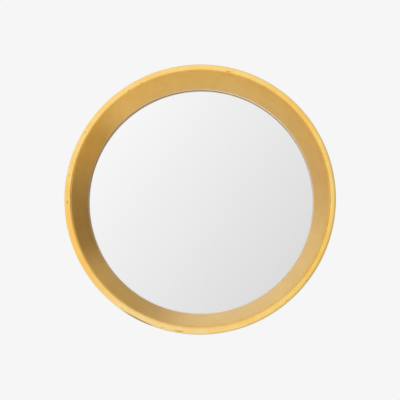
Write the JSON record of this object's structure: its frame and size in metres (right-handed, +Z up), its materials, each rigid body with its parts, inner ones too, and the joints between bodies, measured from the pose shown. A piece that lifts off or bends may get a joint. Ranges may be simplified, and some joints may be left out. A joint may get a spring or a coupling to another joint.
{
  "type": "round wall mirror",
  "caption": "Round wall mirror: a deep conical gilded wooden frame, a recessed glass, a board held by turn buttons and a swinging hanging ring.",
  "frame": {"origin": "on the axis of the ring, in the plane of the wall that the pads rest on", "axes": "+Z up as hung, +Y along the axis into the wall, so the mirror faces -Y; +X to a viewer's right"},
  "size_m": [0.5, 0.0772, 0.5],
  "materials": {
    "gilded_wood": "gold leaf over bole on the front and sides, bare wood behind",
    "clear_glass": "polished float glass with ground edges",
    "silvering": "silvered, painted grey behind",
    "packing_paper": "matt kraft paper felt",
    "hardboard": "smooth brown hardboard",
    "bright_brass": "satin, slightly dulled",
    "zinc_steel": "zinc plated",
    "felt": "dense grey-brown wool felt"
  },
  "bodies": {
    "frame": {"ring_segment_1": "gilded_wood", "ring_segment_2": "gilded_wood", "ring_segment_3": "gilded_wood", "ring_segment_4": "gilded_wood", "ring_segment_5": "gilded_wood", "ring_segment_6": "gilded_wood", "ring_segment_7": "gilded_wood", "ring_segment_8": "gilded_wood", "mirror_glass": "clear_glass", "silver_coating": "silvering", "packing_sheet": "packing_paper", "backing_board": "hardboard", "turn_button_screws": "bright_brass", "hanger_plate": "zinc_steel", "hanger_screws": "zinc_steel", "wall_pads": "felt"},
    "turn_button_1": {"turn_button_1": "bright_brass"},
    "turn_button_2": {"turn_button_2": "bright_brass"},
    "turn_button_3": {"turn_button_3": "bright_brass"},
    "turn_button_4": {"turn_button_4": "bright_brass"},
    "turn_button_5": {"turn_button_5": "bright_brass"},
    "turn_button_6": {"turn_button_6": "bright_brass"},
    "hanger_ring": {"hanger_ring": "zinc_steel"}
  },
  "joints": [
    {"name": "turn_button_1_turn", "type": "hinge", "parent": "frame", "child": "turn_button_1", "pos_m": [0.22675, -0.00565, 0], "axis": [0, 1, 0], "continuous": true},
    {"name": "turn_button_2_turn", "type": "hinge", "parent": "frame", "child": "turn_button_2", "pos_m": [0.11338, -0.00565, 0.19637], "axis": [0, 1, 0], "continuous": true},
    {"name": "turn_button_3_turn", "type": "hinge", "parent": "frame", "child": "turn_button_3", "pos_m": [-0.11338, -0.00565, 0.19637], "axis": [0, 1, 0], "continuous": true},
    {"name": "turn_button_4_turn", "type": "hinge", "parent": "frame", "child": "turn_button_4", "pos_m": [-0.22675, -0.00565, 0], "axis": [0, 1, 0], "continuous": true},
    {"name": "turn_button_5_turn", "type": "hinge", "parent": "frame", "child": "turn_button_5", "pos_m": [-0.11338, -0.00565, -0.19637], "axis": [0, 1, 0], "continuous": true},
    {"name": "turn_button_6_turn", "type": "hinge", "parent": "frame", "child": "turn_button_6", "pos_m": [0.11338, -0.00565, -0.19637], "axis": [0, 1, 0], "continuous": true},
    {"name": "hanger_ring_swing", "type": "hinge", "parent": "frame", "child": "hanger_ring", "pos_m": [0, -0.00267, 0.23], "axis": [1, 0, 0], "range_deg": [0, 180]}
  ]
}
